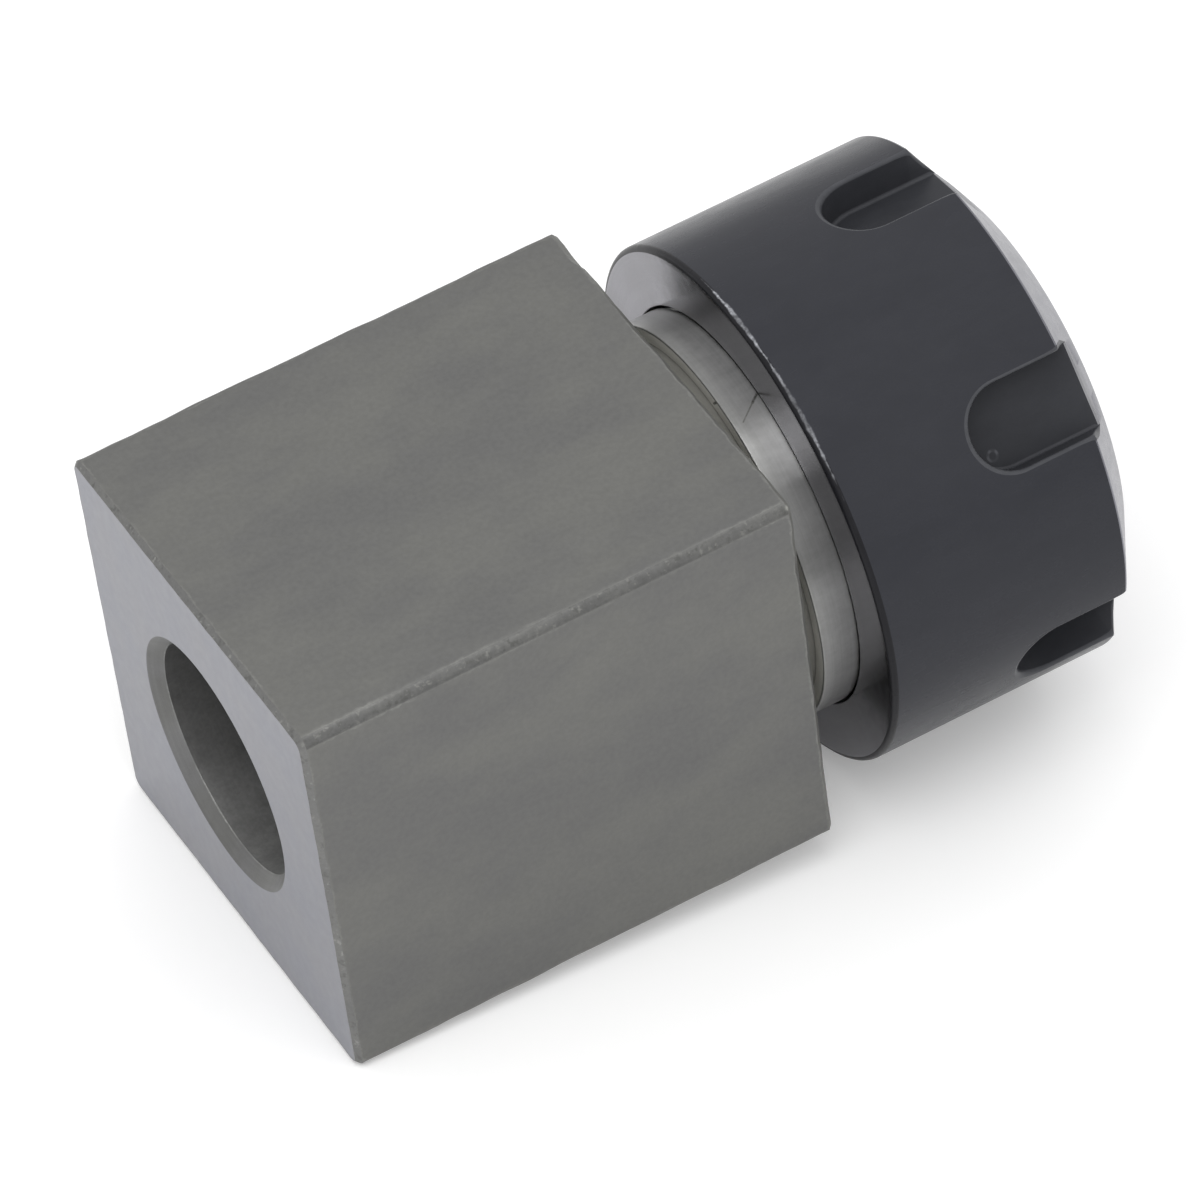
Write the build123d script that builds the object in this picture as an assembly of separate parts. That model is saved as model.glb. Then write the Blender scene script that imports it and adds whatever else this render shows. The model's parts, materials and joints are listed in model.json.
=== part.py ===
from build123d import *

import os
from math import cos, radians, tan

# Square collet block for size 25 spring collets, with its collet and its slotted clamping nut.
# Lengths are in millimetres. The bore axis is the X axis, +X runs from the rear face to the nut, +Z is up.
# The origin is the centre of the block's rear face. The nut is shown where it just holds a full-size shank.

# Block
block_side = 35.0
block_length = 40.4
long_edge_chamfer = 0.65
end_edge_chamfer = 0.3
bore_diameter = 18.6
bore_mouth_chamfer = 1.0

# Spigot on the front of the block
undercut_width = 1.65
undercut_depth = 1.3
collar_length = 3.45
thread_diameter = 32.0
thread_pitch = 1.5
thread_lead_chamfer = 1.0

# Socket for the collet
socket_half_angle = 8.0
socket_mouth_diameter = 25.0
socket_mouth_chamfer = 0.3
socket_relief_depth = 0.3
socket_relief_length = 5.0
socket_clearance = 0.1

# Spring collet
collet_length = 34.0
collet_bore_diameter = 12.0
collet_closing_range = 1.0
collet_groove_width = 2.5
collet_groove_depth = 1.85
collet_land_width = 1.0
collet_face_diameter = 22.6
collet_edge_chamfer = 0.5
collet_slot_width = 0.8
collet_slots_per_end = 8
collet_rear_web = 5.0
collet_front_web = 8.0

# Clamping nut
nut_length = 23.0
nut_standoff = 4.58
nut_wall = 5.0
nut_rear_edge_chamfer = 0.4
nut_face_cone_length = 3.0
nut_face_cone_drop = 5.1
nut_mouth_chamfer = 0.3
nut_counterbore_length = 4.5
nut_counterbore_clearance = 0.4
nut_relief_length = 2.9
nut_relief_depth = 0.2
thread_clearance = 0.06
clamping_half_angle = 30.0
clamping_clearance = 0.1
face_recess = 0.45

# Ring in the nut that draws the collet out, set off centre so that the collet snaps in
lip_side_clearance = 0.25
lip_overlap = 1.3
lip_offset = 0.75
land_clearance = 0.25

# Spanner slots of the nut
slot_count = 6
slot_width = 6.7
slot_length = 11.9
slot_floor_wall = 1.85
first_slot_angle = 39.6

# Radii that the pieces share
bore_radius = bore_diameter / 2
mouth_radius = socket_mouth_diameter / 2
thread_radius = thread_diameter / 2
pitch_radius = thread_radius - 0.32476 * thread_pitch
head_radius = mouth_radius + collet_closing_range / 2
face_radius = collet_face_diameter / 2
nut_radius = thread_radius + nut_wall
slope = tan(radians(socket_half_angle))
clamping_slope = tan(radians(clamping_half_angle))

# Stations along the axis, from the nut inwards
nut_rear_x = block_length + nut_standoff
nut_front_x = nut_rear_x + nut_length
collet_front_x = nut_front_x - face_recess
land_front_x = collet_front_x - (head_radius - face_radius) / clamping_slope
land_rear_x = land_front_x - collet_land_width
taper_front_x = land_rear_x - collet_groove_width
spigot_front_x = taper_front_x - (head_radius - mouth_radius) / slope
collet_rear_x = collet_front_x - collet_length
collar_rear_x = block_length + undercut_width
collar_front_x = collar_rear_x + collar_length


def turned(*outline):
    """Revolves a closed outline of (x, radius) points about the bore axis."""
    return revolve(make_face(Polyline(*outline, close=True)), Axis.X)


def socket_radius(x):
    """Radius of the socket's taper at a station."""
    return mouth_radius - (spigot_front_x - x) * slope


def block_bar():
    """Square bar with its long edges and both ends chamfered."""
    bar = Box(block_length, block_side, block_side, align=(Align.MIN, Align.CENTER, Align.CENTER))
    bar = chamfer(bar.edges().filter_by(Axis.X), long_edge_chamfer)
    ends = bar.faces().filter_by(Axis.X).edges()
    return chamfer(ends, end_edge_chamfer)


def spigot():
    """Undercut, plain collar and thread stretch, which stands as a cylinder of the thread's pitch diameter."""
    root = block_length / 2
    undercut_radius = thread_radius - undercut_depth
    step = thread_radius - pitch_radius
    lead = pitch_radius - thread_lead_chamfer
    return turned(
        (root, 0),
        (root, undercut_radius),
        (collar_rear_x, undercut_radius),
        (collar_rear_x, thread_radius),
        (collar_front_x - step, thread_radius),
        (collar_front_x, pitch_radius),
        (spigot_front_x - thread_lead_chamfer, pitch_radius),
        (spigot_front_x, lead),
        (spigot_front_x, 0),
    )


def through_hole():
    """Rear bore, the relief behind the taper and the collet's taper socket."""
    relief_radius = bore_radius + socket_relief_depth
    taper_rear_x = spigot_front_x - (mouth_radius - relief_radius) / slope
    relief_rear_x = taper_rear_x - socket_relief_length
    chamfer_x = spigot_front_x - socket_mouth_chamfer
    return turned(
        (0, 0),
        (0, bore_radius + bore_mouth_chamfer),
        (bore_mouth_chamfer, bore_radius),
        (relief_rear_x, bore_radius),
        (relief_rear_x, relief_radius),
        (taper_rear_x, relief_radius),
        (chamfer_x, socket_radius(chamfer_x)),
        (spigot_front_x, mouth_radius + socket_mouth_chamfer),
        (spigot_front_x, 0),
    )


def make_block():
    """Block and spigot from one bar of steel."""
    return block_bar() + spigot() - through_hole()


def collet_slot(start_x, end_x, angle):
    """One radial saw cut through the collet's wall."""
    cut = Box(
        end_x - start_x,
        collet_slot_width,
        head_radius * 1.5,
        align=(Align.MIN, Align.CENTER, Align.MIN),
    )
    return Rot(angle, 0, 0) * Pos(start_x, 0, 0) * cut


def make_collet():
    """Spring collet: taper body, draw-out groove, clamping cone, and saw cuts from both ends in turn."""
    bore = collet_bore_diameter / 2
    edge = collet_edge_chamfer
    taper_front = socket_radius(taper_front_x) - socket_clearance
    taper_rear = socket_radius(collet_rear_x + edge) - socket_clearance
    groove_radius = head_radius - collet_groove_depth
    body = turned(
        (collet_rear_x, bore + edge),
        (collet_rear_x + edge, bore),
        (collet_front_x - edge, bore),
        (collet_front_x, bore + edge),
        (collet_front_x, face_radius),
        (land_front_x, head_radius),
        (land_rear_x, head_radius),
        (land_rear_x, groove_radius),
        (taper_front_x, groove_radius),
        (taper_front_x, taper_front),
        (collet_rear_x + edge, taper_rear),
        (collet_rear_x, taper_rear - edge),
    )
    spacing = 360 / collet_slots_per_end
    margin = 1.0
    for index in range(collet_slots_per_end):
        from_front = collet_slot(collet_rear_x + collet_rear_web, collet_front_x + margin, index * spacing)
        from_rear = collet_slot(collet_rear_x - margin, collet_front_x - collet_front_web, (index + 0.5) * spacing)
        body = body - from_front - from_rear
    return body


def spanner_slot(angle):
    """Round-ended slot, open at the front, for one tooth of the spanner. The angle turns from -Y towards +Z."""
    end_radius = slot_width / 2
    centre_x = nut_front_x - slot_length + end_radius
    floor = thread_radius + slot_floor_wall
    margin = 2.0
    straight = Pos(centre_x, 0) * Rectangle(slot_length, slot_width, align=(Align.MIN, Align.CENTER))
    plan = straight + Pos(centre_x, 0) * Circle(end_radius)
    cutter = Pos(0, 0, floor) * extrude(plan, nut_wall + margin)
    return Rot(90 - angle, 0, 0) * cutter


def nut_shell():
    """Outside of the nut: a cylinder with a broken rear edge and a shallow cone to the front ring."""
    edge = nut_rear_edge_chamfer
    return turned(
        (nut_rear_x, 0),
        (nut_rear_x, nut_radius - edge),
        (nut_rear_x + edge, nut_radius),
        (nut_front_x - nut_face_cone_length, nut_radius),
        (nut_front_x, nut_radius - nut_face_cone_drop),
        (nut_front_x, 0),
    )


def nut_rear_bore(lip_rear_x):
    """Counterbore, thread stretch at its pitch diameter, and the relief in front of the thread."""
    counterbore = thread_radius + nut_counterbore_clearance
    thread = pitch_radius + thread_clearance
    relief = thread_radius + nut_relief_depth
    thread_rear_x = nut_rear_x + nut_counterbore_length
    relief_rear_x = lip_rear_x - nut_relief_length
    return turned(
        (nut_rear_x, 0),
        (nut_rear_x, counterbore),
        (thread_rear_x - (counterbore - thread), counterbore),
        (thread_rear_x, thread),
        (relief_rear_x - (relief - thread), thread),
        (relief_rear_x, relief),
        (lip_rear_x, relief),
        (lip_rear_x, 0),
    )


def nut_front_bore(lip_front_x):
    """Pocket round the collet's land, then the cone that closes the collet."""
    pocket = head_radius + land_clearance
    gap = clamping_clearance / cos(radians(clamping_half_angle))
    cone_start_x = land_front_x - (pocket - head_radius - gap) / clamping_slope
    mouth = head_radius + gap - (nut_front_x - land_front_x) * clamping_slope
    chamfer_x = nut_front_x - nut_mouth_chamfer
    return turned(
        (lip_front_x, 0),
        (lip_front_x, pocket),
        (cone_start_x, pocket),
        (chamfer_x, mouth + nut_mouth_chamfer * clamping_slope),
        (nut_front_x, mouth + nut_mouth_chamfer),
        (nut_front_x, 0),
    )


def make_nut():
    """Clamping nut with its off-centre ring, clamping cone and spanner slots."""
    lip_rear_x = taper_front_x + lip_side_clearance
    lip_front_x = land_rear_x - lip_side_clearance
    lip_radius = head_radius - lip_overlap + lip_offset
    lip_hole = Pos(nut_rear_x, -lip_offset, 0) * Rot(0, 90, 0) * Cylinder(
        lip_radius, nut_length, align=(Align.CENTER, Align.CENTER, Align.MIN)
    )
    nut = nut_shell() - nut_rear_bore(lip_rear_x) - nut_front_bore(lip_front_x)
    nut = nut - (lip_hole & nut_lip_space(lip_rear_x, lip_front_x))
    for index in range(slot_count):
        nut = nut - spanner_slot(first_slot_angle + index * 360 / slot_count)
    return nut


def nut_lip_space(rear_x, front_x):
    """The disc between the two bores that the ring is left in."""
    return turned((rear_x, 0), (rear_x, thread_radius), (front_x, thread_radius), (front_x, 0))


os.makedirs("parts", exist_ok=True)
for node, make in (
    ("block_body", make_block),
    ("collet", make_collet),
    ("clamping_nut", make_nut),
):
    export_step(make(), f"parts/{node}.step")
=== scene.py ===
"""Looks of a square collet block: the block, its slotted spring collet and its clamping nut, finely built in
the packed model's own frame, with their steel finishes, the floor, the light and the camera.
Lengths are in millimetres, and become metres where a mesh or a light is made."""
import json
from collections import namedtuple
from math import atan2, cos, pi, radians, sin, sqrt, tan

import bmesh
import bpy
import numpy as np
from mathutils import Euler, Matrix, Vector, noise


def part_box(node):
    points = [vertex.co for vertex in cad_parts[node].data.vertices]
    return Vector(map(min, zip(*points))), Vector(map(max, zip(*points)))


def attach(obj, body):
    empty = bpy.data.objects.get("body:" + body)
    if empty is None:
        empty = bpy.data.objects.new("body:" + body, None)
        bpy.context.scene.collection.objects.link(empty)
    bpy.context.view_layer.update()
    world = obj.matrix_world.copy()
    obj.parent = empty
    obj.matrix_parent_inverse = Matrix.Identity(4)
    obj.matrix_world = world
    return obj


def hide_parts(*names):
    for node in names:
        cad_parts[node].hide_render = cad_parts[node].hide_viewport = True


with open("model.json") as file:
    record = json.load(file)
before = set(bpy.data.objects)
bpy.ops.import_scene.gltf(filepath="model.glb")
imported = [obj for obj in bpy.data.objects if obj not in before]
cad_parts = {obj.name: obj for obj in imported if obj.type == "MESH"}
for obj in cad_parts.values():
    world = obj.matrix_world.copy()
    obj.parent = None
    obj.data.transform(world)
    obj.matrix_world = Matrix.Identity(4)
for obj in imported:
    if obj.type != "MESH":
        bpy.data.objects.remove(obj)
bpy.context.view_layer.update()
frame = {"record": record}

MM = 0.001


def low_and_high(node):
    """Lowest and highest corner of a packed node in millimetres."""
    return [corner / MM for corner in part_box(node)]


def mount_radius(name):
    """Radius of a round mount of the record in millimetres."""
    return next(mount["dims"]["r_mm"] for mount in frame["record"]["mounts"] if mount["name"] == name)


block_high = low_and_high("block_body")[1]
nut_low, nut_high = low_and_high("clamping_nut")
collet_low, collet_high = low_and_high("collet")

# Block
half_side = block_high.z
block_length = 40.4
long_edge_chamfer = 0.65
rear_edge_chamfer = 0.4
front_edge_chamfer = 0.3
edge_softness = 0.11
nick_angle = 51.0
nick_half_width = 1.5
nick_depth = 0.17
bore_radius = mount_radius("rear_bore")
bore_mouth_chamfer = 1.0
undercut_width = 1.65
undercut_depth = 1.3
collar_length = 3.45
collar_rear_x = block_length + undercut_width
collar_front_x = collar_rear_x + collar_length
thread_radius = 16.0
thread_lead = 1.49
spigot_front_x = block_high.x
socket_mouth_radius = 12.5
socket_mouth_chamfer = 0.3
socket_slope = tan(radians(8))
socket_clearance = 0.1
relief_depth = 0.3
relief_length = 5.0

# Thread of the spigot and the nut, right-hand, in mesh wherever the nut has turned to
thread_pitch = frame["record"]["behaviour"]["couplings"][0]["ratio"] * 2 * pi / MM
thread_samples = 12
spigot_crest, spigot_root, spigot_crest_half = 15.925, 15.08, 0.1
nut_groove, nut_crest, nut_groove_half = 16.05, 15.19, 0.13
flank_slope = 1 / tan(radians(30))

# Nut
nut_rear_x = nut_low.x
nut_front_x = nut_high.x
nut_radius = 21.0
nut_sides = 240
nut_rear_break = 0.45
face_cone_length = 3.0
face_cone_drop = 5.1
counterbore_radius = 16.18
counterbore_length = 4.5
nut_relief_radius = 16.2
nut_relief_length = 2.9
nut_lead_slope = 1.2
nut_mouth_chamfer = 0.3
clamping_angle = radians(30)
clamping_slope = tan(clamping_angle)
clamping_gap = 0.1

# Collet
collet_rear_x = collet_low.x
collet_front_x = collet_high.x
collet_bore_radius = mount_radius("collet_clamp")
collet_sides = 192
head_radius = 13.0
collet_face_radius = 11.3
land_width = 1.0
groove_width = 2.5
groove_depth = 1.85
collet_edge = 0.5
saw_width = 0.8
saws_per_end = 8
rear_web = 5.0
front_web = 8.0
saw_inner_radius = 4.0
land_front_x = collet_front_x - (head_radius - collet_face_radius) / clamping_slope
land_rear_x = land_front_x - land_width
taper_front_x = land_rear_x - groove_width

# Off-centre ring in the nut that draws the collet out
lip_side_gap = 0.25
lip_offset = 0.75
lip_radius = head_radius - 1.3 + lip_offset
pocket_radius = head_radius + 0.25

# Spanner slots
slot_count = 6
slot_half_width = 3.35
slot_length = 11.9
slot_floor_radius = 17.85
first_slot_angle = 39.6
slot_foot = 0.25
slot_lip = 0.3
slot_front_lip = 0.55
slot_end_lip = 0.5
slot_rounding_share = 0.4
slot_bevel = 0.3

# Stretches of the nut's rear rim that are rubbed bright: (angle from -Y towards +Z, half width) in degrees
rubbed_stretches = ((84, 14), (61, 18), (-48, 8), (152, 12), (204, 18), (262, 11))

# Camera, fitted to the photograph's view of the block's corners
camera_place = (-181.87, -484.05, 545.39)
camera_turn = (43.7095, 5.8356, -29.9273)
camera_lens = 309.9
camera_sensor = 36.0

# Light
horizon_light = 0.68
lamp_place = (-60, -155, 420)
lamp_aim = (32, 0, 0)
lamp_size = 270
lamp_power = 0.54

# Distance from a worn line up to which its distance is kept
edge_reach = 1.0


def unit(vector):
    return vector / np.linalg.norm(vector)


def wander(points, size, amount, shift=0.0):
    """Smooth unevenness of up to the amount at each point, with waves of about the size."""
    shifts = Vector((shift, shift, shift))
    return amount * np.array([noise.noise(Vector(point) / size + shifts) for point in points])


def arc(before, corner, after, size, steps=6):
    """Points of the arc of the given radius that rounds a corner."""
    inward = unit(before - corner)
    onward = unit(after - corner)
    half = np.arccos(np.clip(inward @ onward, -1, 1)) / 2
    reach = size / tan(half)
    centre = corner + unit(inward + onward) * size / sin(half)
    start = corner + inward * reach - centre
    end = corner + onward * reach - centre
    turn = pi - 2 * half
    shares = np.linspace(0, 1, steps + 1)
    return [centre + (start * sin((1 - s) * turn) + end * sin(s * turn)) / sin(turn) for s in shares]


Corner = namedtuple("Corner", "x radius rounding finish bend wear", defaults=(0.0, "", "", None))
Corner.__doc__ = """Corner of an outline: its place, the radius that rounds it, the finish of the stretch
after it, the finish of its rounding, and where along the rounding its wear lies, from 0 to 1."""


def stations(corners, closed=False):
    """Stations of (x, radius, distance to the nearest worn line, finish of the strip that follows)."""
    places = [np.array([corner.x, corner.radius], float) for corner in corners]
    last = len(corners) - 1
    path, marks = [], []
    run = 0.0
    for index, corner in enumerate(corners):
        place = places[index]
        bend = [place]
        if corner.rounding > 0 and (closed or index not in (0, last)):
            bend = arc(places[index - 1], place, places[(index + 1) % len(places)], corner.rounding)
        bend_start = None
        for step, point in enumerate(bend):
            if path:
                run += np.linalg.norm(point - path[-1][1])
            bend_start = run if bend_start is None else bend_start
            finish = corner.finish if step == len(bend) - 1 else corner.bend or corner.finish
            path.append((run, point, finish))
        if corner.wear is not None:
            marks.append(bend_start + (run - bend_start) * corner.wear)
    found = []
    for (start, point, finish), (end, onward, _) in zip(path, path[1:] + [path[-1]]):
        found.append((start, point, finish))
        between = sorted(mark + side for mark in marks for side in (-edge_reach, 0, edge_reach))
        for run in between:
            if start + 0.01 < run < end - 0.01:
                found.append((run, point + (onward - point) * (run - start) / (end - start), finish))
    return [
        (point[0], point[1], min([abs(run - mark) for mark in marks] + [edge_reach]), finish)
        for run, point, finish in found
    ]


def swept(name, found, angles, finishes):
    """One closed surface round the bore axis through a closed list of stations."""
    rows, columns = len(found), len(angles)
    grid = np.empty((rows, columns, 3))
    edge = np.empty((rows, columns))
    surface = np.empty((rows, columns), int)
    for row, (x, radius, distance, finish) in enumerate(found):
        grid[row, :, 0] = x
        grid[row, :, 1] = radius * np.cos(angles)
        grid[row, :, 2] = radius * np.sin(angles)
        edge[row] = distance
        surface[row] = finishes.index(finish) if isinstance(finish, str) else finish
    index = np.arange(rows * columns).reshape(rows, columns)
    right = np.roll(index, -1, axis=1)
    quads = np.stack([index, right, np.roll(right, -1, axis=0), np.roll(index, -1, axis=0)], axis=-1)
    points = grid.reshape(-1, 3)
    faces = quads.reshape(-1, 4).tolist()
    return solid(name, points, faces, surface.ravel(), edge.ravel(), finishes)


def solid(name, points, faces, surface, edge, finishes):
    """Mesh of points in millimetres, with each face's finish and each point's distance to a worn line."""
    mesh = bpy.data.meshes.new(name)
    mesh.from_pydata((np.asarray(points) * MM).tolist(), [], faces)
    for finish in finishes:
        mesh.materials.append(steels[finish])
    mesh.polygons.foreach_set("material_index", np.asarray(surface, np.int32))
    distance = mesh.attributes.new("edge_mm", "FLOAT", "POINT")
    distance.data.foreach_set("value", np.asarray(edge, np.float32))
    mesh.update()
    thing = bpy.data.objects.new(name, mesh)
    bpy.context.scene.collection.objects.link(thing)
    return thing


def cut(thing, cutter):
    """Takes the cutter's solids out of the thing."""
    difference = thing.modifiers.new("cut", "BOOLEAN")
    difference.operation = "DIFFERENCE"
    difference.solver = "EXACT"
    difference.object = cutter
    keep_evaluated(thing)
    bpy.data.objects.remove(cutter)


def keep_evaluated(thing):
    """Puts what the modifiers make in place of the thing's mesh."""
    bpy.context.view_layer.update()
    graph = bpy.context.evaluated_depsgraph_get()
    seen = thing.evaluated_get(graph)
    made = bpy.data.meshes.new_from_object(seen, preserve_all_data_layers=True, depsgraph=graph)
    old = thing.data
    thing.modifiers.clear()
    thing.data = made
    bpy.data.meshes.remove(old)
    made.name = thing.name


def shade(thing, smooth_finishes=()):
    """Smooth shading with sharp edges, except inside the finishes that are smooth all over."""
    mesh = thing.data
    mesh.shade_smooth()
    mesh.set_sharp_from_angle(angle=radians(32))
    smooth = {mesh.materials.find(steels[finish].name) for finish in smooth_finishes}
    form = bmesh.new()
    form.from_mesh(mesh)
    for side in form.edges:
        if side.link_faces and all(face.material_index in smooth for face in side.link_faces):
            side.smooth = True
    form.to_mesh(mesh)
    form.free()
    weighted = thing.modifiers.new("weighted", "WEIGHTED_NORMAL")
    weighted.mode = "FACE_AREA"
    weighted.keep_sharp = True
    keep_evaluated(thing)


def thread_radii(x, angles, outer, inner, outer_half):
    """Radius of a thread at each angle of a station. The spigot's crest faces the nut's groove."""
    turn = (x - spigot_front_x) / thread_pitch - angles / (2 * pi)
    along = np.abs((turn + 0.5) % 1 - 0.5) * thread_pitch
    return outer - np.clip((along - outer_half) * flank_slope, 0, outer - inner)


def bar_radii(angles, inset, chamfer):
    """Distance from the axis to the square outline with cut corners. A soft minimum rounds its edges."""
    corner = sqrt(2) * half_side - chamfer / sqrt(2)
    sides = [(quarter * pi / 2, half_side - inset) for quarter in range(4)]
    sides += [((quarter + 0.5) * pi / 2, corner - inset) for quarter in range(4)]
    total = 0
    for normal, distance in sides:
        facing = np.maximum(np.cos(angles - normal), 0.05)
        total = total + np.exp(-(distance / facing - half_side) / edge_softness)
    return half_side - edge_softness * np.log(total)


def chamfer_edge_angle():
    """Angle from a flat's middle to the edge of the long chamfer beside it."""
    return atan2(half_side - long_edge_chamfer, half_side)


def bar_angles(count=240):
    """Even angles round the axis, with more of them at the edges of the long chamfers."""
    edge_angle = chamfer_edge_angle()
    offsets = np.radians([-2.6, -1.2, -0.75, -0.45, -0.25, -0.1, 0, 0.1, 0.25, 0.45])
    found = [np.arange(count) * 2 * pi / count]
    for quarter in range(4):
        found.append(quarter * pi / 2 + edge_angle + offsets)
        found.append((quarter + 1) * pi / 2 - edge_angle - offsets)
    angles = np.sort(np.concatenate(found) % (2 * pi))
    return angles[np.diff(np.append(angles, angles[0] + 2 * pi)) > radians(0.05)]


def bar_stations(angles, finishes):
    """Rear rim, the four flats with their uneven chamfers, and the front rim of the square bar."""
    around = np.column_stack([np.zeros_like(angles), np.cos(angles), np.sin(angles)]) * half_side
    rear_cut = rear_edge_chamfer + wander(around, 1.3, 0.09) + wander(around, 5, 0.05)
    front_cut = front_edge_chamfer + wander(around, 1.1, 0.12, 7) + wander(around, 4, 0.08, 7)
    off_nick = np.abs(angles - radians(nick_angle)) / radians(nick_half_width)
    front_cut += nick_depth * np.clip(2 - off_nick, 0, 1)
    edge_angle = chamfer_edge_angle()
    middles = (angles + np.append(angles[1:], angles[0] + 2 * pi)) / 2
    on_chamfer = np.abs((middles % (pi / 2)) - pi / 4) < pi / 4 - edge_angle
    flank = np.where(on_chamfer, finishes.index("long_edge"), finishes.index("flat"))
    corner_of = (angles // (pi / 2)).astype(int) % 4

    def rim(x, inset, distance, finish):
        return (x, bar_radii(angles, inset, long_edge_chamfer), distance, finish)

    def off_edges(x):
        """Distance to the nearest long edge, or to the end if that is nearer."""
        from_corner = np.abs((angles % (pi / 2)) - pi / 4)
        off_edge = np.abs(from_corner - (pi / 4 - edge_angle)) * half_side * sqrt(2)
        along = min(abs(x - rear_edge_chamfer), abs(front_x - x))
        return np.minimum(np.minimum(off_edge, along), edge_reach)

    front_x = block_length - front_edge_chamfer
    inner = np.linspace(rear_edge_chamfer + edge_reach, front_x - edge_reach, 44)
    near_rear = [rear_edge_chamfer + 0.35, rear_edge_chamfer + 0.7]
    near_front = [front_x - 0.7, front_x - 0.35]
    found = [
        rim(0, rear_edge_chamfer + edge_reach, edge_reach, "end_face"),
        rim(0, rear_cut, 0, "end_edge"),
        rim(rear_cut, 0, 0, flank),
    ]
    for x in [*near_rear, *inner, *near_front]:
        station = np.column_stack([np.full(4, x), np.arange(4) * 40.0, np.zeros(4)])
        widths = long_edge_chamfer + wander(station, 2.2, 0.09) + wander(station, 8, 0.13)
        found.append((x, bar_radii(angles, 0, widths[corner_of]), off_edges(x), flank))
    found.append(rim(block_length - front_cut, 0, 0, "front_edge"))
    found.append(rim(block_length, front_cut, 0, "front_face"))
    found.append(rim(block_length, front_edge_chamfer + edge_reach, edge_reach, "front_face"))
    return found


def socket_radius(x):
    return socket_mouth_radius - (spigot_front_x - x) * socket_slope


def make_block():
    """Square bar, undercut, collar, thread, taper socket and rear bore in one surface."""
    finishes = [
        "flat", "long_edge", "end_edge", "end_face", "front_edge", "front_face", "undercut", "shoulder",
        "collar", "thread", "socket", "bore", "bore_mouth",
    ]
    angles = bar_angles()
    undercut_radius = thread_radius - undercut_depth
    run_out_depth = (thread_radius - spigot_root) / 2
    neck = stations([
        Corner(block_length, undercut_radius + edge_reach, 0, "undercut"),
        Corner(block_length, undercut_radius, 0.2, "undercut"),
        # The shoulder's finish carries painted light
        Corner(collar_rear_x, undercut_radius, 0.2, "shoulder", "undercut"),
        Corner(collar_rear_x, thread_radius, 0.14, "collar", "collar", 0.5),
        Corner(collar_front_x - run_out_depth, thread_radius, 0.12, "collar"),
        Corner(collar_front_x, thread_radius - run_out_depth, 0, "thread"),
    ])
    steps = int((spigot_front_x - collar_front_x) / thread_pitch * thread_samples)
    threads = []
    for x in np.linspace(collar_front_x, spigot_front_x, steps + 1)[1:]:
        radius = thread_radii(x, angles, spigot_crest, spigot_root, spigot_crest_half)
        run_out = thread_radius - run_out_depth - (x - collar_front_x)
        lead = spigot_crest - thread_lead + spigot_front_x - x
        threads.append((x, np.minimum(np.maximum(radius, run_out), lead), edge_reach, "thread"))
    chamfer_x = spigot_front_x - socket_mouth_chamfer
    relief_radius = bore_radius + relief_depth
    taper_rear_x = spigot_front_x - (socket_mouth_radius - relief_radius) / socket_slope
    relief_rear_x = taper_rear_x - relief_length
    hole = stations([
        Corner(spigot_front_x, socket_mouth_radius + edge_reach, 0, "socket"),
        Corner(spigot_front_x, socket_mouth_radius + socket_mouth_chamfer, 0, "socket"),
        Corner(chamfer_x, socket_radius(chamfer_x), 0.05, "socket"),
        Corner(taper_rear_x, relief_radius, 0, "bore"),
        Corner(relief_rear_x, relief_radius, 0, "bore"),
        Corner(relief_rear_x, bore_radius, 0.05, "bore"),
        Corner(bore_mouth_chamfer, bore_radius, 0.08, "bore_mouth", "bore_mouth", 0.5),
        Corner(0, bore_radius + bore_mouth_chamfer, 0.08, "end_face"),
        Corner(0, bore_radius + bore_mouth_chamfer + edge_reach, 0, "end_face"),
    ])
    block = swept("square_block", bar_stations(angles, finishes) + neck + threads + hole, angles, finishes)
    shade(block, ["thread"])
    return block


def nut_outside(x):
    """Radius of the nut's outside at a station, cylinder or face cone."""
    cone = nut_radius - (x - (nut_front_x - face_cone_length)) * face_cone_drop / face_cone_length
    return min(nut_radius, cone)


def slot_plan():
    """Half of a slot's plan, from beyond the front along one side to its rear end: (x, y, outward x, y)."""
    centre_x = nut_front_x - slot_length + slot_half_width
    cone_x = nut_front_x - face_cone_length
    on_cone = np.linspace(nut_front_x - 0.4, cone_x - 0.4, 15)
    on_cylinder = np.linspace(cone_x - 1.2, centre_x, 6)
    plan = [(x, slot_half_width, 0.0, 1.0) for x in [nut_front_x + 2, *on_cone, *on_cylinder]]
    for turn in np.linspace(0, pi / 2, 15)[1:]:
        out_x, out_y = -sin(turn), cos(turn)
        plan.append((centre_x + slot_half_width * out_x, slot_half_width * out_y, out_x, out_y))
    return plan


def slot_floor(x):
    """Height of a slot's floor, which is bevelled where it runs out into the face cone."""
    cone_slope = face_cone_drop / face_cone_length
    floor_end_x = nut_front_x - face_cone_length + (nut_radius - slot_floor_radius) / cone_slope
    return slot_floor_radius - max(0, x - (floor_end_x - slot_bevel)) * clamping_slope


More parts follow.
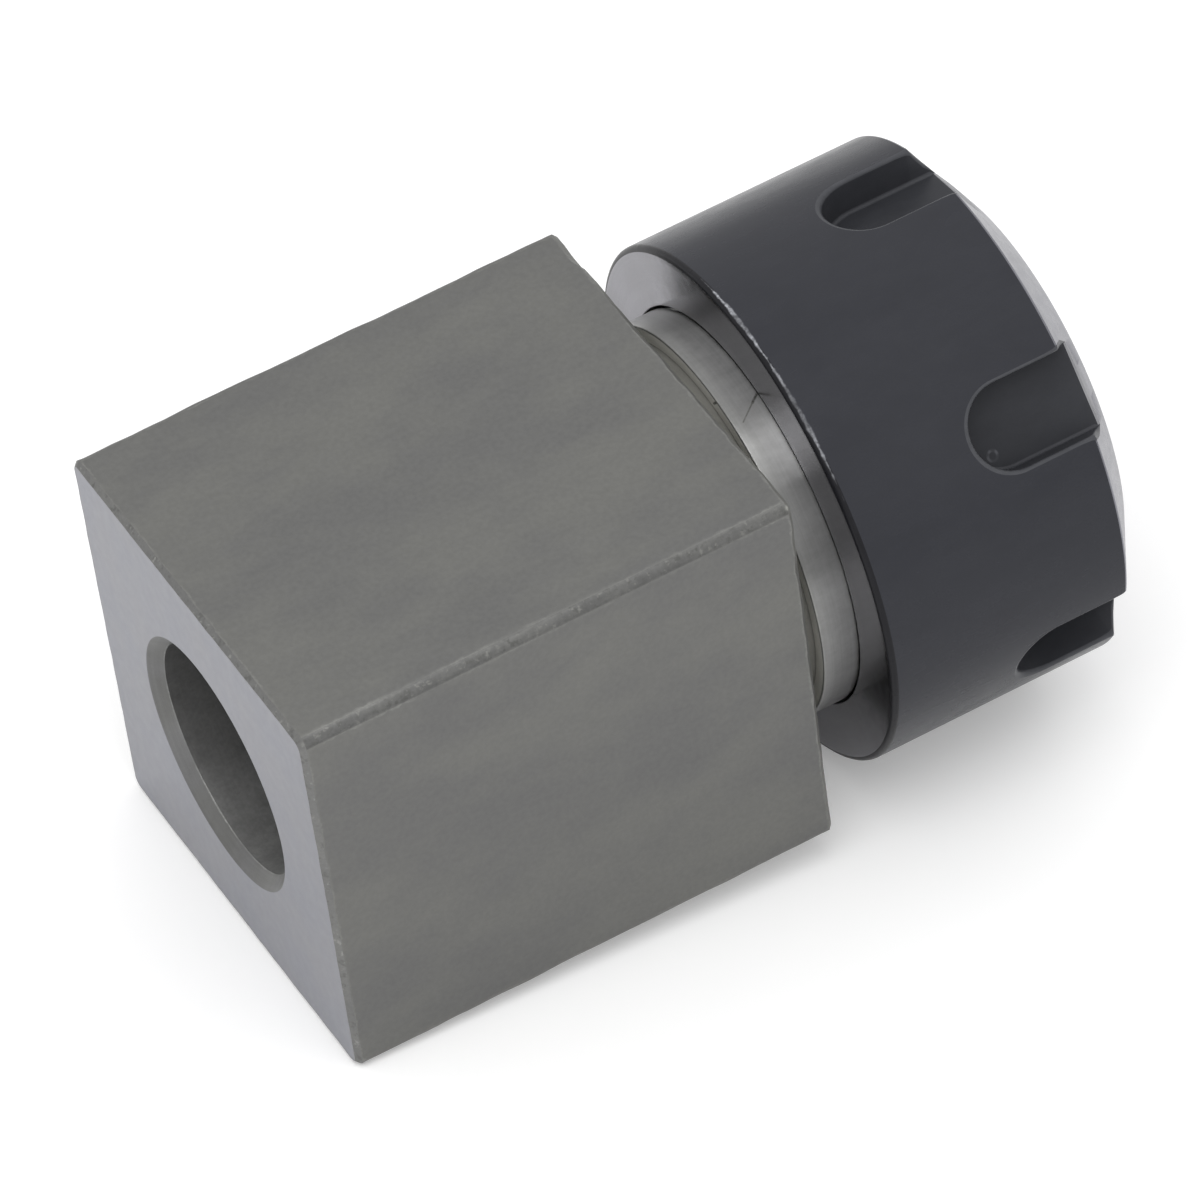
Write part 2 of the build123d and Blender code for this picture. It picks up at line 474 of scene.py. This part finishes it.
def slot_section(x, y, out_x, out_y):
    """Points up one side of a slot: rounded foot, wall, rounded lip, and on past the nut's outside."""
    def surface(at_x, at_y):
        return sqrt(max(nut_outside(at_x), 5) ** 2 - at_y ** 2)

    floor = slot_floor(x)
    least_height = 0.05
    height = max(surface(x, y) - floor, least_height)
    foot = min(slot_foot, slot_rounding_share * height)
    on_cone = min(max((x - (nut_front_x - face_cone_length) + 0.6) / 0.8, 0), 1)
    at_end = max(0, -out_x)
    lip = slot_lip + (slot_front_lip - slot_lip) * on_cone + (slot_end_lip - slot_lip) * at_end
    lip = min(lip, slot_rounding_share * height)
    points = []
    for turn in np.radians([0, 22.5, 45, 67.5, 90]):
        offset = foot * (sin(turn) - 1)
        points.append((x + out_x * offset, y + out_y * offset, floor + foot * (1 - cos(turn))))
    for turn in np.radians([0, 16, 32, 48, 64, 80]):
        offset = lip * (1 - cos(turn))
        at_x = x + out_x * offset
        at_y = y + out_y * offset
        level = surface(at_x, at_y)
        if height <= least_height:
            level = max(level, floor + height)
        points.append((at_x, at_y, level - lip * (1 - sin(turn))))
    lip_x, lip_y, lip_z = points[-1]
    flare = 0.5
    clear_x = lip_x + out_x * flare
    clear_y = lip_y + out_y * flare
    points.append((clear_x, clear_y, lip_z + flare * tan(radians(10)) + 0.02))
    points.append((clear_x, clear_y, nut_radius + 3))
    return points


def slot_cutters(finishes):
    """The six spanner slots as solids to take out of the nut."""
    plan = slot_plan()
    full = plan + [(x, -y, out_x, -out_y) for x, y, out_x, out_y in plan[-2::-1]]
    sections = np.array([slot_section(*place) for place in full])
    count, levels = sections.shape[:2]
    # The feet's lighter finish is a painted highlight along the fillets
    bands = ["slot_foot"] * 4 + ["slot"] + ["slot_lip"] * 7
    points, faces, surface = [], [], []
    for number in range(slot_count):
        turn = radians(90 - first_slot_angle - number * 360 / slot_count)
        start = len(points)
        for x, y, z in sections.reshape(-1, 3):
            points.append((x, y * cos(turn) - z * sin(turn), y * sin(turn) + z * cos(turn)))

        def at(place, level):
            return start + (place % count) * levels + level

        for place in range(count):
            for level in range(levels - 1):
                above = level + 1
                faces.append([at(place, level), at(place + 1, level), at(place + 1, above), at(place, above)])
                surface.append(finishes.index(bands[level]))
        for place in range(count // 2):
            across = count - 1 - place
            for level in (0, levels - 1):
                ring = [at(place, level), at(across, level), at(across - 1, level), at(place + 1, level)]
                faces.append(list(dict.fromkeys(ring)))
                bevelled = sections[place][0][2] < slot_floor_radius - 0.001
                surface.append(finishes.index("slot_bevel" if bevelled else "slot"))
    cutters = solid("slot_cutters", points, faces, surface, np.full(len(points), edge_reach), finishes)
    face_outwards(cutters)
    return cutters


def rim_wear(angles):
    """How far the worn line of the nut's rear rim fades at each angle: 0 where rubbed, else up to 0.3."""
    from_front = np.degrees(pi - angles)
    rubbed = np.zeros_like(angles)
    for middle, half_width in rubbed_stretches:
        off = np.abs((from_front - middle + 180) % 360 - 180)
        rubbed = np.maximum(rubbed, np.exp(-(off / half_width) ** 2))
    return 0.3 * (1 - rubbed)


def clear_wear(thing, rear_x):
    """Leaves no wear in front of the station, where the slots were cut."""
    mesh = thing.data
    for vertex, distance in zip(mesh.vertices, mesh.attributes["edge_mm"].data):
        if vertex.co.x > rear_x * MM:
            distance.value = edge_reach


def face_outwards(thing):
    form = bmesh.new()
    form.from_mesh(thing.data)
    bmesh.ops.recalc_face_normals(form, faces=form.faces)
    form.to_mesh(thing.data)
    form.free()


def make_nut():
    """Nut with its thread, off-centre ring, clamping cone, face cone and spanner slots."""
    finishes = [
        "oxide", "rim", "annulus", "cone", "slot", "slot_foot", "slot_lip", "slot_bevel", "nut_bore",
        "nut_thread", "clamp_cone",
    ]
    angles = np.arange(nut_sides) * 2 * pi / nut_sides
    gap = clamping_gap / cos(clamping_angle)
    cone_start_x = land_front_x - (pocket_radius - head_radius - gap) / clamping_slope
    mouth_radius = head_radius + gap - (nut_front_x - land_front_x) * clamping_slope
    lip_rear_x = taper_front_x + lip_side_gap
    lip_front_x = land_rear_x - lip_side_gap
    mouth_x = nut_front_x - nut_mouth_chamfer
    thread_rear_x = nut_rear_x + counterbore_length
    relief_rear_x = lip_rear_x - nut_relief_length
    outer = stations([
        Corner(nut_rear_x, counterbore_radius + edge_reach, 0, "annulus"),
        # The rounded rear rim gets the rim finish, darker than the oxide: partly the oxide's own black,
        # partly a painted dark reflection
        Corner(nut_rear_x, nut_radius, nut_rear_break, "oxide", "rim", 0.85),
        Corner(nut_front_x - face_cone_length, nut_radius, 0.2, "cone"),
        Corner(nut_front_x, nut_radius - face_cone_drop, 0.15, "cone"),
        Corner(nut_front_x, mouth_radius + nut_mouth_chamfer, 0.05, "clamp_cone"),
        Corner(mouth_x, mouth_radius + nut_mouth_chamfer * clamping_slope, 0.05, "clamp_cone"),
        Corner(cone_start_x, pocket_radius, 0, "nut_bore"),
        Corner(lip_front_x, pocket_radius, 0, "nut_bore"),
        Corner(lip_front_x, lip_radius + lip_offset + 0.01, 0, "nut_bore"),
    ])
    towards = lip_offset * np.cos(angles - pi)
    beside = lip_offset * np.sin(angles - pi)
    ring = towards + np.sqrt(lip_radius ** 2 - beside ** 2)
    off_centre = [(x, ring, edge_reach, "nut_bore") for x in (lip_front_x, lip_rear_x)]
    relief = [(x, nut_relief_radius, edge_reach, "nut_bore") for x in (lip_rear_x, relief_rear_x)]
    steps = int((relief_rear_x - thread_rear_x) / thread_pitch * thread_samples)
    threads = []
    for x in np.linspace(relief_rear_x, thread_rear_x, steps + 1)[1:-1]:
        radius = thread_radii(x, angles, nut_groove, nut_crest, nut_groove_half)
        front_lead = nut_relief_radius - (relief_rear_x - x)
        rear_lead = counterbore_radius - (x - thread_rear_x) * nut_lead_slope
        lead = max(front_lead, rear_lead)
        threads.append((x, np.maximum(radius, lead), edge_reach, "nut_thread"))
    rear = stations([
        Corner(thread_rear_x, counterbore_radius, 0, "nut_bore"),
        Corner(nut_rear_x, counterbore_radius, 0.12, "annulus"),
        Corner(nut_rear_x, counterbore_radius + edge_reach, 0, "annulus"),
    ])
    fading = rim_wear(angles)
    faded = [
        (x, radius, np.minimum(distance + fading, edge_reach), finish)
        for x, radius, distance, finish in outer
    ]
    nut = swept("slotted_nut", faded + off_centre + relief + threads + rear[:-1], angles, finishes)
    cut(nut, slot_cutters(finishes))
    clear_wear(nut, nut_rear_x + nut_rear_break + edge_reach)
    shade(nut, ["nut_thread"])
    return nut


def saw_cuts(finishes):
    """Thin boxes of the saw cuts, from both ends of the collet in turn."""
    points, faces, surface = [], [], []
    margin = 1.0
    for number in range(2 * saws_per_end):
        turn = radians(number * 180 / saws_per_end)
        if number % 2:
            ends = (collet_rear_x - margin, collet_front_x - front_web)
        else:
            ends = (collet_rear_x + rear_web, collet_front_x + margin)
        start = len(points)
        for x in ends:
            for y, z in ((-1, 0), (1, 0), (1, 1), (-1, 1)):
                across = y * saw_width / 2
                out = saw_inner_radius + z * (head_radius + margin - saw_inner_radius)
                points.append((x, across * cos(turn) - out * sin(turn), across * sin(turn) + out * cos(turn)))
        for ring in ((0, 1, 2, 3), (4, 5, 6, 7), (0, 1, 5, 4), (1, 2, 6, 5), (2, 3, 7, 6), (3, 0, 4, 7)):
            faces.append([start + corner for corner in ring])
            surface.append(finishes.index("sawn"))
    cuts = solid("saw_cuts", points, faces, surface, np.full(len(points), edge_reach), finishes)
    face_outwards(cuts)
    return cuts


def make_collet():
    """Spring collet: long taper, draw-out groove, clamping cone and saw cuts."""
    finishes = ["ground", "collet_bore", "sawn"]
    taper_front = socket_radius(taper_front_x) - socket_clearance
    taper_rear = socket_radius(collet_rear_x + collet_edge) - socket_clearance
    off_the_saws = 0.37
    angles = (np.arange(collet_sides) + off_the_saws) * 2 * pi / collet_sides
    groove = head_radius - groove_depth
    collet = swept("spring_collet", stations([
        Corner(collet_rear_x, collet_bore_radius + collet_edge, 0.05, "ground"),
        Corner(collet_rear_x, taper_rear - collet_edge, 0.15, "ground"),
        Corner(collet_rear_x + collet_edge, taper_rear, 0.3, "ground"),
        Corner(taper_front_x, taper_front, 0.1, "ground"),
        Corner(taper_front_x, groove, 0.3, "ground"),
        Corner(land_rear_x, groove, 0.3, "ground"),
        Corner(land_rear_x, head_radius, 0.08, "ground"),
        Corner(land_front_x, head_radius, 0.1, "ground"),
        Corner(collet_front_x, collet_face_radius, 0.15, "ground"),
        Corner(collet_front_x, collet_bore_radius + collet_edge, 0.05, "collet_bore"),
        Corner(collet_front_x - collet_edge, collet_bore_radius, 0.05, "collet_bore"),
        Corner(collet_rear_x + collet_edge, collet_bore_radius, 0.05, "collet_bore"),
    ], closed=True), angles, finishes)
    cut(collet, saw_cuts(finishes))
    shade(collet)
    return collet


def around_axis(x, radius, angle):
    """Point at a radius from the bore axis. The angle turns from -Y towards +Z, in degrees."""
    return (x, -radius * cos(radians(angle)), radius * sin(radians(angle)))


def srgb(red, green, blue):
    """Linear colour of a screen colour given from 0 to 255."""
    def linear(value):
        value /= 255
        return value / 12.92 if value <= 0.04045 else ((value + 0.055) / 1.055) ** 2.4
    return (linear(red), linear(green), linear(blue), 1.0)


class Nodes:
    """Adds the nodes of one material and hands back their outputs."""

    def __init__(self, owner):
        owner.use_nodes = True
        self.tree = owner.node_tree
        self.tree.nodes.clear()

    def add(self, kind, inputs=(), **settings):
        made = self.tree.nodes.new(kind)
        for name, value in settings.items():
            setattr(made, name, value)
        for name, value in dict(inputs).items():
            self.feed(made.inputs[name], value)
        return made

    def feed(self, socket, value):
        if isinstance(value, bpy.types.NodeSocket):
            self.tree.links.new(value, socket)
        else:
            socket.default_value = value

    def math(self, operation, *values):
        return self.add("ShaderNodeMath", enumerate(values), operation=operation).outputs[0]

    def vector(self, operation, *values):
        return self.add("ShaderNodeVectorMath", enumerate(values), operation=operation).outputs[0]

    def noise(self, place, size, detail=3.0, rough=0.5):
        inputs = {"Vector": place, "Scale": 1 / size, "Detail": detail, "Roughness": rough}
        return self.add("ShaderNodeTexNoise", inputs).outputs["Fac"]

    def between(self, value, low, high, start=0.0, end=1.0):
        """A smooth step from start to end as the value goes from low to high."""
        inputs = {"Value": value, "From Min": low, "From Max": high, "To Min": start, "To Max": end}
        return self.add("ShaderNodeMapRange", inputs, interpolation_type="SMOOTHSTEP").outputs[0]

    def mix(self, share, first, second):
        made = self.add("ShaderNodeMix", data_type="RGBA")
        self.feed(made.inputs["Factor"], share)
        self.feed(made.inputs[6], first)
        self.feed(made.inputs[7], second)
        return made.outputs[2]

    def scaled(self, vector, factor):
        """A vector or a colour times a factor."""
        made = self.add("ShaderNodeVectorMath", operation="SCALE")
        self.feed(made.inputs[0], vector)
        self.feed(made.inputs["Scale"], factor)
        return made.outputs[0]

    def distance(self, first, second):
        made = self.add("ShaderNodeVectorMath", {0: first, 1: second}, operation="DISTANCE")
        return made.outputs["Value"]

    def dot(self, first, second):
        made = self.add("ShaderNodeVectorMath", {0: first, 1: second}, operation="DOT_PRODUCT")
        return made.outputs["Value"]

    def to_line(self, place, start, end):
        """Distance from the place to a straight line between two points."""
        run = Vector(end) - Vector(start)
        from_start = self.vector("SUBTRACT", place, start)
        along = self.dot(from_start, run / run.length_squared)
        inside = self.math("MINIMUM", self.math("MAXIMUM", along, 0.0), 1.0)
        return self.distance(from_start, self.scaled(run, inside))


def turning_lines(nodes, place):
    """Fine lines round the axis, slightly spiral."""
    split = nodes.add("ShaderNodeSeparateXYZ", {0: place}).outputs
    squares = [nodes.math("MULTIPLY", split[axis], split[axis]) for axis in "YZ"]
    radius = nodes.math("SQRT", nodes.math("ADD", *squares))
    angle = nodes.math("ARCTAN2", split["Y"], split["Z"])
    slow_angle = nodes.math("MULTIPLY", angle, 0.25)
    spiral = nodes.add("ShaderNodeCombineXYZ", {0: split["X"], 1: radius, 2: slow_angle})
    return nodes.noise(spiral.outputs[0], 0.22, 3.0, 0.7)


def painted_light_level(nodes, place, angle, radius, least, most):
    """Brightness that grows from least to most towards one angle round the axis."""
    towards = nodes.dot(place, around_axis(0, 1 / radius, angle))
    return nodes.between(towards, -0.2, 1.0, least, most)


def worn_share(nodes, place, width, wobble):
    """How much of the worn colour shows: an uneven, broken line along the worn edges."""
    edge = nodes.add("ShaderNodeAttribute", attribute_name="edge_mm").outputs["Fac"]
    uneven = nodes.between(nodes.noise(place, 0.8, 3.0, 0.6), 0.2, 0.8, -wobble, wobble)
    line = nodes.between(nodes.math("ADD", edge, uneven), width * 0.3, width, 1.0, 0.0)
    stretches = nodes.between(nodes.noise(place, 4.0, 2.0, 0.5), 0.35, 0.65, 0.25, 1.0)
    sparkles = nodes.between(nodes.noise(place, 0.3, 2.0, 0.6), 0.3, 0.7, 0.4, 1.0)
    return nodes.math("MULTIPLY", line, nodes.math("MULTIPLY", stretches, sparkles))


def corner_share(nodes, place, strength):
    """Small rubbed spots at the block's eight corners."""
    middle = (block_length / 2, 0, 0)
    folded = nodes.vector("ABSOLUTE", nodes.vector("SUBTRACT", place, middle))
    corner = (block_length / 2 - 0.2, half_side - 0.3, half_side - 0.3)
    return nodes.between(nodes.distance(folded, corner), 0.05, 0.32, strength, 0.0)


def scratch_share(nodes, place, grains, start, end, half_width):
    """A straight scratch between two points, rough with the grains."""
    line = nodes.between(nodes.to_line(place, start, end), 0.2 * half_width, half_width, 1.0, 0.0)
    return nodes.math("MULTIPLY", line, nodes.between(grains, 0.3, 0.6, 0.5, 1.0))


def ring_share(nodes, place, middle, radius, half_width):
    """A broken ring round a point."""
    off_ring = nodes.math("ABSOLUTE", nodes.math("SUBTRACT", nodes.distance(place, middle), radius))
    line = nodes.between(off_ring, 0.2 * half_width, half_width, 1.0, 0.0)
    return nodes.math("MULTIPLY", line, nodes.between(nodes.noise(place, 0.7, 1.0, 0.5), 0.4, 0.6, 0.2, 0.9))


def steel(name, tone, other, roughness=0.5, patch=5.0, cloud=0.03, cloud_size=1.0, grain=0.03,
          grain_size=0.2, relief=0.0008, turned=0.0, painted_side_light=None, flecks=(), worn=None, corners=0.0,
          scratches=(), ring=None, metallic=1.0, specular=0.5, drawn_out=0.0):
    """One finish.
    tone and other are the colours of its patches, and patch is their size.
    cloud and cloud_size are the strength and size of its clouds, grain and grain_size those of its speckle.
    relief is the height of its unevenness, and turned the strength of its turning marks.
    drawn_out is how far its reflections are drawn out across the turning marks.
    brighter_side (angle, radius, least, most) brightens it towards one angle round the axis.
    flecks are specks of (colour, size, threshold), and worn (colour, width, wobble) is its rubbed edges.
    corners is how bright the block's corners are rubbed.
    scratches are straight marks of (colour, start, end, half width).
    ring (colour, middle, radius, half width) is a round mark."""
    material = bpy.data.materials.new(name)
    nodes = Nodes(material)
    place = nodes.scaled(nodes.add("ShaderNodeTexCoord").outputs["Object"], 1 / MM)
    drawn = nodes.vector("MULTIPLY", place, (0.55, 1, 1))
    patches = nodes.between(nodes.noise(drawn, patch, 4.0, 0.6), 0.32, 0.68)
    clouds = nodes.noise(drawn, cloud_size, 4.0, 0.6)
    grains = nodes.noise(place, grain_size, 2.0, 0.6)
    level = nodes.math("ADD", nodes.between(clouds, 0.25, 0.75, 1 - cloud, 1 + cloud),
                       nodes.between(grains, 0.2, 0.8, -grain, grain))
    height = nodes.math("MULTIPLY", grains, relief)
    if turned:
        lines = turning_lines(nodes, place)
        level = nodes.math("ADD", level, nodes.between(lines, 0.25, 0.75, -turned, turned))
        height = nodes.math("ADD", height, nodes.math("MULTIPLY", lines, relief))
    # Painted light: the colour is made brighter towards one side round the axis
    if painted_side_light:
        level = nodes.math("MULTIPLY", level, painted_light_level(nodes, place, *painted_side_light))
    colour = nodes.scaled(nodes.mix(patches, srgb(*tone), srgb(*other)), level)
    for fleck_colour, fleck_size, threshold in flecks:
        specks = nodes.between(nodes.noise(place, fleck_size, 2.0, 0.6), threshold, threshold + 0.16)
        colour = nodes.mix(specks, colour, srgb(*fleck_colour))
    if worn:
        worn_colour, width, wobble = worn
        colour = nodes.mix(worn_share(nodes, place, width, wobble), colour, srgb(*worn_colour))
    if corners:
        colour = nodes.mix(corner_share(nodes, place, corners), colour, srgb(*SPARKLE))
    for mark_colour, *mark in scratches:
        colour = nodes.mix(scratch_share(nodes, place, grains, *mark), colour, srgb(*mark_colour))
    if ring:
        ring_colour, *mark = ring
        colour = nodes.mix(ring_share(nodes, place, *mark), colour, srgb(*ring_colour))
    rough = nodes.between(clouds, 0.25, 0.75, roughness - 0.04, roughness + 0.04)
    shader = nodes.add("ShaderNodeBsdfPrincipled", {
        "Base Color": colour, "Metallic": metallic, "Roughness": rough, "Specular IOR Level": specular,
    })
    if drawn_out:
        quarter_turn = 0.25
        around = nodes.add("ShaderNodeTangent", direction_type="RADIAL", axis="X").outputs[0]
        nodes.feed(shader.inputs["Tangent"], around)
        nodes.feed(shader.inputs["Anisotropic"], drawn_out)
        nodes.feed(shader.inputs["Anisotropic Rotation"], quarter_turn)
    if relief:
        bump = nodes.add("ShaderNodeBump", {"Height": height, "Distance": MM, "Strength": 1.0})
        nodes.feed(shader.inputs["Normal"], bump.outputs[0])
    nodes.add("ShaderNodeOutputMaterial", {"Surface": shader.outputs[0]})
    return material


SPARKLE = (186, 187, 180)
OXIDE = dict(metallic=0.0, specular=0.14)
RUBBED = (182, 184, 190)
collar_scratches = [
    ((70, 70, 66), around_axis(45.1, thread_radius, 74.5), around_axis(44.3, thread_radius, 72.4), 0.15),
    ((104, 104, 100), around_axis(44.3, thread_radius, 72.4), around_axis(42.9, thread_radius, 68.6), 0.09),
]
shoulder_scratches = [
    ((60, 60, 56), around_axis(collar_rear_x, thread_radius, 77),
     around_axis(collar_rear_x, thread_radius - 0.7, 78.5), 0.16),
]
slot_ring = ((90, 91, 96), around_axis(58.1, slot_floor_radius, 33.5), 0.4, 0.16)
steels = {
    "flat": steel(
        "flat", (123, 123, 120), (116, 116, 115), 0.5, patch=7.0, cloud=0.035, cloud_size=1.4, grain=0.05,
        grain_size=0.45, corners=0.8, worn=((136, 136, 133), 0.2, 0.12)),
    "long_edge": steel(
        "long_edge", (113, 113, 111), (106, 106, 105), 0.42, patch=2.0, cloud=0.07, cloud_size=0.6,
        grain=0.07, grain_size=0.3, corners=0.55, worn=((119, 119, 117), 0.15, 0.12),
        flecks=[((99, 99, 97), 0.55, 0.55), ((128, 128, 125), 0.5, 0.57)]),
    "end_edge": steel(
        "end_edge", (130, 130, 128), (123, 123, 122), 0.5, cloud=0.05, cloud_size=0.5, grain=0.06,
        corners=0.55, flecks=[((112, 112, 110), 0.6, 0.54), ((150, 150, 147), 0.5, 0.6)]),
    "end_face": steel(
        "end_face", (145, 146, 153), (148, 148, 153), 0.4, patch=6.0, cloud=0.02, grain=0.02, corners=0.6,
        worn=((138, 138, 141), 0.35, 0.15)),
    "front_edge": steel(
        "front_edge", (117, 117, 114), (110, 110, 107), 0.5, cloud=0.06, cloud_size=0.5, grain=0.05,
        corners=0.9, flecks=[((120, 120, 114), 0.6, 0.56)], metallic=0.2, specular=0.3),
    "front_face": steel("front_face", (112, 112, 110), (106, 106, 105), 0.5),
    "undercut": steel(
        "undercut", (130, 129, 124), (124, 123, 118), 0.6, turned=0.03, metallic=0.0, specular=0.1),
    # Painted light: the shoulder is coloured far lighter than the undercut, to cancel the shade it lies in,
    # facing the block's front face 1.65 mm away
    "shoulder": steel(
        "shoulder", (198, 197, 190), (190, 189, 182), 0.6, turned=0.03, metallic=0.0, specular=0.2,
        scratches=shoulder_scratches),
    "collar": steel(
        "collar", (145, 145, 144), (137, 137, 136), 0.33, relief=0.0, grain=0.03, grain_size=0.35,
        turned=0.05, cloud=0.06, cloud_size=0.7, worn=((160, 160, 156), 0.12, 0.05), metallic=0.9,
        scratches=collar_scratches, drawn_out=0.8),
    "thread": steel("thread", (140, 140, 142), (126, 126, 126), 0.35, turned=0.05),
    "socket": steel("socket", (170, 170, 172), (160, 160, 162), 0.3, turned=0.05),
    # Painted light and shade: the bore's colour is lighter towards its lower wall at -Y -Z, which faces up,
    # and darker towards the upper wall
    "bore": steel(
        "bore", (138, 138, 137), (128, 128, 127), 0.5, turned=0.04, grain=0.1, grain_size=0.35, metallic=0.7,
        painted_side_light=(-42, bore_radius, 0.74, 1.3)),
    "bore_mouth": steel(
        "bore_mouth", (120, 120, 120), (112, 112, 110), 0.4, turned=0.06, worn=((150, 150, 148), 0.14, 0.05)),
    "oxide": steel(
        "oxide", (53, 54, 59), (51, 52, 57), 0.26, patch=7.0, cloud=0.03, cloud_size=1.6, grain=0.015,
        relief=0.0003, worn=(RUBBED, 0.22, 0.08), **OXIDE),
    # Rounded rear rim: partly the oxide's own black, partly painted shade, coloured darker than the oxide to
    # stand in for the dark that the rounding mirrors
    "rim": steel("rim", (29, 29, 32), (34, 34, 37), 0.3, worn=(RUBBED, 0.22, 0.08), **OXIDE),
    "annulus": steel(
        "annulus", (133, 132, 138), (127, 126, 131), 0.18, turned=0.04, cloud=0.03, relief=0.0),
    "cone": steel("cone", (132, 132, 139), (124, 124, 130), 0.28, turned=0.05, cloud=0.04),
    "slot": steel("slot", (55, 56, 60), (52, 53, 57), 0.4, cloud=0.05, ring=slot_ring, **OXIDE),
    # Painted highlight: the rounded foot of each slot is coloured lighter than the slot, for the light line
    # that the fillet catches
    "slot_foot": steel("slot_foot", (70, 71, 75), (64, 65, 69), 0.4, cloud=0.05, ring=slot_ring, **OXIDE),
    "slot_lip": steel("slot_lip", (77, 78, 82), (70, 71, 75), 0.35, cloud=0.08, cloud_size=0.6, **OXIDE),
    "slot_bevel": steel("slot_bevel", (168, 168, 171), (158, 158, 162), 0.3, cloud=0.05),
    "nut_bore": steel("nut_bore", (170, 170, 170), (160, 160, 160), 0.5, turned=0.04, metallic=0.3),
    "nut_thread": steel("nut_thread", (110, 110, 112), (100, 100, 104), 0.4, turned=0.06),
    "clamp_cone": steel("clamp_cone", (165, 165, 168), (155, 155, 158), 0.28, turned=0.05),
    "ground": steel("ground", (182, 182, 184), (174, 174, 176), 0.28, turned=0.04),
    "collet_bore": steel("collet_bore", (170, 170, 172), (160, 160, 162), 0.32, turned=0.05),
    "sawn": steel("sawn", (130, 130, 132), (118, 118, 120), 0.45, grain=0.1),
}


def make_floor():
    """White floor that the block's rear edge and the nut's rim rest on. It is see-through from below."""
    block_x, block_z = rear_edge_chamfer, -half_side
    nut_x, nut_z = nut_rear_x + nut_rear_break, -nut_radius
    slope = (nut_z - block_z) / (nut_x - block_x)
    reach = 1500.0
    outline = ((-reach, -reach), (reach, -reach), (reach, reach), (-reach, reach))
    points = [(x, y, block_z + (x - block_x) * slope) for x, y in outline]
    mesh = bpy.data.meshes.new("floor")
    mesh.from_pydata([[value * MM for value in point] for point in points], [], [[0, 1, 2, 3]])
    floor = bpy.data.objects.new("floor", mesh)
    bpy.context.scene.collection.objects.link(floor)
    material = bpy.data.materials.new("floor_white")
    nodes = Nodes(material)
    path = nodes.add("ShaderNodeLightPath").outputs
    below = nodes.add("ShaderNodeNewGeometry").outputs["Backfacing"]
    matte = nodes.add("ShaderNodeBsdfDiffuse", {"Color": (0.9, 0.9, 0.9, 1)})
    seen_glow, mirrored_glow = 0.2, 0.08
    seen = nodes.math("MULTIPLY", path["Is Camera Ray"], seen_glow)
    mirrored = nodes.math("MULTIPLY", path["Is Glossy Ray"], mirrored_glow)
    glow = nodes.add("ShaderNodeEmission", {"Strength": nodes.math("ADD", seen, mirrored)})
    both = nodes.add("ShaderNodeAddShader", {0: matte.outputs[0], 1: glow.outputs[0]})
    clear = nodes.add("ShaderNodeBsdfTransparent")
    from_below = nodes.math("MULTIPLY", below, path["Is Camera Ray"])
    shown = nodes.add("ShaderNodeMixShader", {0: from_below, 1: both.outputs[0], 2: clear.outputs[0]})
    nodes.add("ShaderNodeOutputMaterial", {"Surface": shown.outputs[0]})
    mesh.materials.append(material)


def make_world():
    """White studio all round, a little less bright near the horizon, and plain white to the camera."""
    world = bpy.data.worlds.new("studio")
    bpy.context.scene.world = world
    nodes = Nodes(world)
    path = nodes.add("ShaderNodeLightPath").outputs
    direction = nodes.add("ShaderNodeTexCoord").outputs["Generated"]
    height = nodes.add("ShaderNodeSeparateXYZ", {0: direction}).outputs["Z"]
    walls = nodes.between(nodes.math("ABSOLUTE", height), 0.05, 0.55, horizon_light, 1.0)
    strength = nodes.math("MAXIMUM", walls, path["Is Camera Ray"])
    light = nodes.add("ShaderNodeBackground", {"Color": (1, 1, 1, 1), "Strength": strength})
    nodes.add("ShaderNodeOutputWorld", {"Surface": light.outputs[0]})


def make_lamp():
    """Square soft lamp that faces the middle of the part."""
    data = bpy.data.lights.new("key", "AREA")
    data.size = lamp_size * MM
    data.energy = lamp_power
    lamp = bpy.data.objects.new("key", data)
    lamp.location = Vector(lamp_place) * MM
    lamp.rotation_euler = (Vector(lamp_place) - Vector(lamp_aim)).to_track_quat("Z", "Y").to_euler()
    bpy.context.scene.collection.objects.link(lamp)


def make_camera():
    data = bpy.data.cameras.new("camera")
    data.lens = camera_lens
    data.sensor_width = camera_sensor
    data.clip_start = 0.01
    data.clip_end = 20
    camera = bpy.data.objects.new("camera", data)
    camera.location = Vector(camera_place) * MM
    camera.rotation_euler = Euler([radians(turn) for turn in camera_turn])
    bpy.context.scene.collection.objects.link(camera)
    bpy.context.scene.camera = camera


for make, node, body, slot in (
    (make_block, "block_body", "block", "block_steel"),
    (make_collet, "collet", "collet", "collet_steel"),
    (make_nut, "clamping_nut", "nut", "nut_steel"),
):
    piece = make()
    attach(piece, body)
    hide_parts(node)

make_floor()
make_world()
make_lamp()
make_camera()
bpy.context.scene.view_settings.view_transform = "Standard"
